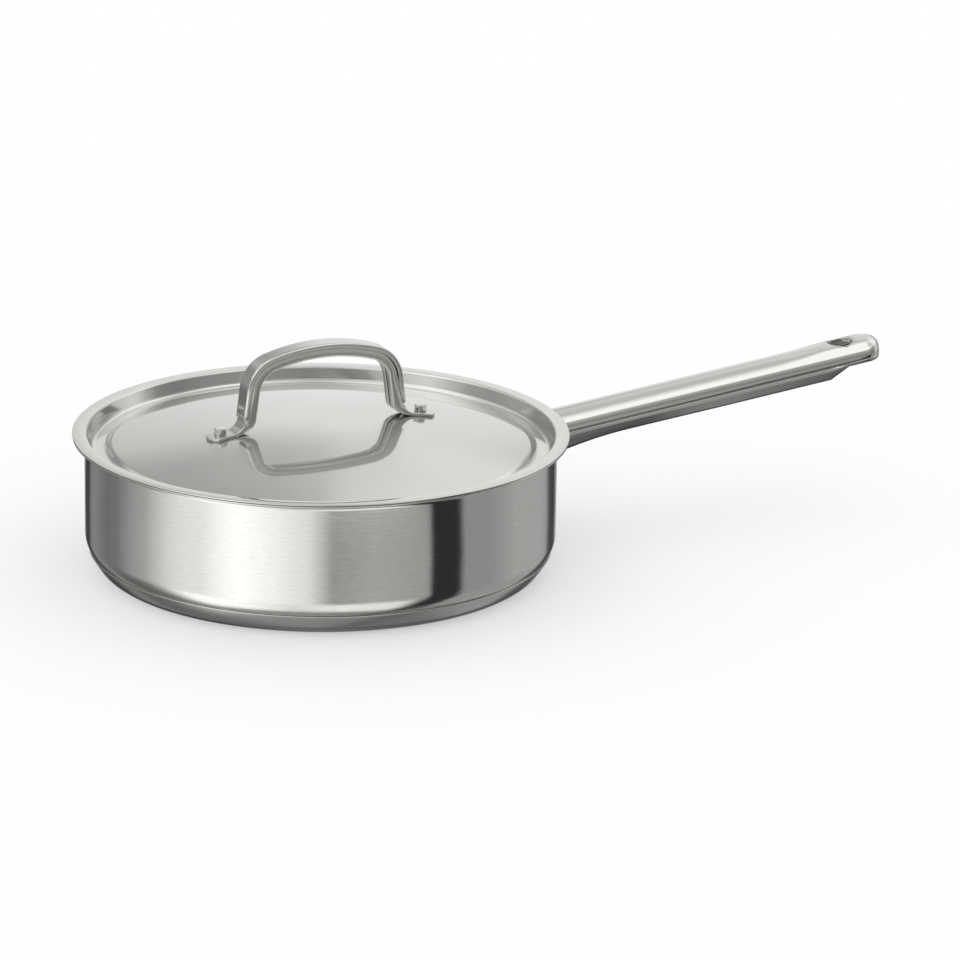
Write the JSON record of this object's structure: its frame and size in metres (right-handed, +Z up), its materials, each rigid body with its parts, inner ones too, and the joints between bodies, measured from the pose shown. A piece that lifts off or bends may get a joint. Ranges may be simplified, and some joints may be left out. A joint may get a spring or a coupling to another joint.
{
  "type": "saute pan with lid",
  "caption": "Low straight-sided saute pan in stainless steel with a flat rim, a capsule base, a long channel handle with a hanging hole, and a recessed domed lid with an arched handle.",
  "frame": {"origin": "centre of the base's flat underside, on the pan's axis", "axes": "+Z up along the pan's axis, +X out along the long handle"},
  "size_m": [0.4539, 0.2544, 0.1196],
  "materials": {
    "satin_steel": "satin, brushed along the wall",
    "polished_steel": "polished",
    "lid_steel": "polished, lightly spun",
    "core_aluminium": "plain"
  },
  "bodies": {
    "pan": {"vessel": "satin_steel", "core_disc": "core_aluminium", "base_cap": "polished_steel", "handle": "polished_steel", "handle_bracket": "satin_steel"},
    "lid_assembly": {"lid": "lid_steel", "lid_studs": "polished_steel", "lid_strap": "polished_steel", "lid_grip": "polished_steel"}
  },
  "joints": [
    {"name": "lid_lift", "type": "slide", "parent": "pan", "child": "lid_assembly", "axis": [0, 0, 1], "range_m": [0, 0.12]}
  ]
}
